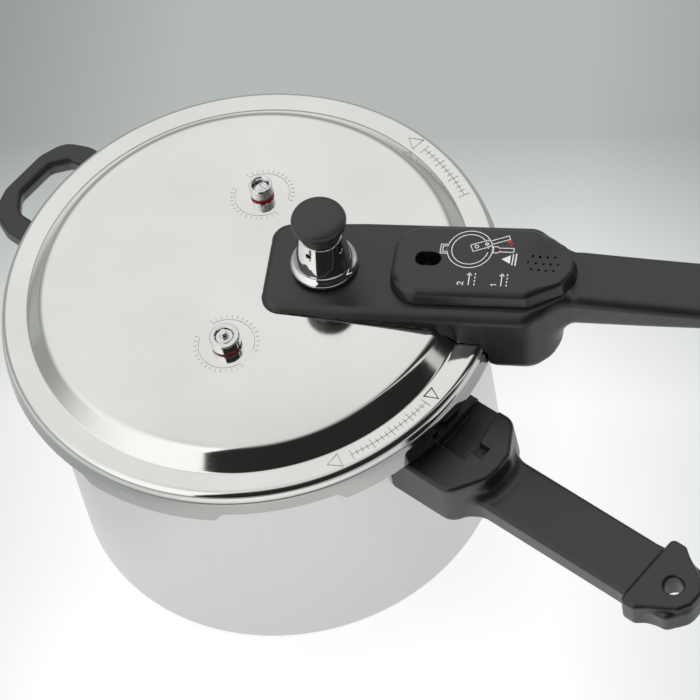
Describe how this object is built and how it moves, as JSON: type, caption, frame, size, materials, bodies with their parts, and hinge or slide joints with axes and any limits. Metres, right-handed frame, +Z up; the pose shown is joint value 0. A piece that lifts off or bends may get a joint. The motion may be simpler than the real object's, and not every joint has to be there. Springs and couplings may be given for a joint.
{
  "type": "pressure canner",
  "caption": "Stove-top pressure canner with a long pot handle, a helper handle, a domed bayonet lid, weight regulator, safety valve and steam release.",
  "frame": {"origin": "centre of the pot's flat base, on the pot's axis", "axes": "+Z up along the pot's axis, +X along the pot's long handle, and the open lid's handle 32 degrees from +X towards +Y"},
  "size_m": [0.4503, 0.2889, 0.2201],
  "materials": {
    "satin_aluminium": "satin, brushed",
    "polished_aluminium": "mirror polished",
    "charcoal_phenolic": "moulded, semi-matt",
    "chrome": "bright",
    "steel": "plain zinc or stainless",
    "red_silicone": "soft",
    "grey_rubber": "soft"
  },
  "bodies": {
    "pot": {"pot_body": "satin_aluminium", "pot_handle": "charcoal_phenolic", "pot_handle_bracket": "steel", "pot_handle_rivets": "steel", "pot_handle_screw": "steel", "helper_handle": "charcoal_phenolic", "helper_handle_bracket": "steel", "helper_handle_rivets": "steel", "helper_handle_screws": "steel"},
    "rack": {"canning_rack": "satin_aluminium"},
    "seal": {"sealing_ring": "grey_rubber"},
    "lid": {"lid_shell": "polished_aluminium", "lid_handle": "charcoal_phenolic", "lid_handle_base": "charcoal_phenolic", "lid_handle_bracket": "steel", "lid_handle_screws": "steel", "base_cover_screws": "steel", "vent_pipe": "steel", "vent_washer": "grey_rubber", "vent_nut": "steel", "vent_guard": "steel", "safety_valve_body": "chrome", "safety_valve_ring": "red_silicone", "safety_valve_nut": "steel", "safety_valve_spring": "steel", "safety_valve_screw": "chrome", "release_valve_body": "chrome", "release_valve_nut": "steel", "release_valve_spring": "steel", "indicator_grommet": "red_silicone", "lock_spring": "steel"},
    "safety_plunger": {"safety_valve_plunger": "steel"},
    "release_valve": {"release_valve_stem": "steel", "release_valve_knob": "chrome", "release_valve_button": "chrome", "release_valve_ring": "red_silicone"},
    "indicator": {"indicator_pin": "charcoal_phenolic"},
    "lock": {"lock_slider": "charcoal_phenolic", "lock_bolt": "steel", "lock_rivets": "steel"},
    "regulator_stem": {"regulator_needle": "steel", "regulator_spring": "steel"},
    "regulator": {"regulator_weight": "chrome", "regulator_cap": "charcoal_phenolic"}
  },
  "joints": [
    {"name": "rack_lift", "type": "slide", "parent": "pot", "child": "rack", "axis": [0, 0, 1], "range_m": [0, 0.12]},
    {"name": "lid_lift", "type": "slide", "parent": "pot", "child": "seal", "axis": [0, 0, 1], "range_m": [0, 0.12]},
    {"name": "lid_turn", "type": "hinge", "parent": "seal", "child": "lid", "pos_m": [0, 0, 0.15], "axis": [0, 0, 1], "range_deg": [-32, 0]},
    {"name": "safety_pop", "type": "slide", "parent": "lid", "child": "safety_plunger", "axis": [-0.0293, 0.0516, 0.9982], "range_m": [0, 0.0012], "stiffness_N_per_m": 2000, "deforming": ["safety_valve_spring"]},
    {"name": "release_lift", "type": "slide", "parent": "lid", "child": "release_valve", "axis": [0.0294, -0.0509, 0.9983], "range_m": [0, 0.0028], "stiffness_N_per_m": 400, "deforming": ["release_valve_spring"]},
    {"name": "indicator_rise", "type": "slide", "parent": "lid", "child": "indicator", "axis": [0.1054, 0.0658, 0.9923], "range_m": [0, 0.005]},
    {"name": "lock_slide", "type": "slide", "parent": "lid", "child": "lock", "axis": [0.848, 0.5299, 0], "range_m": [0, 0.007]},
    {"name": "regulator_lift", "type": "slide", "parent": "lid", "child": "regulator_stem", "axis": [0.0445, 0.0278, 0.9986], "range_m": [0, 0.03]},
    {"name": "regulator_turn", "type": "hinge", "parent": "regulator_stem", "child": "regulator", "pos_m": [0.03562, 0.02226, 0.1739], "axis": [0.0445, 0.0278, 0.9986], "continuous": true}
  ]
}
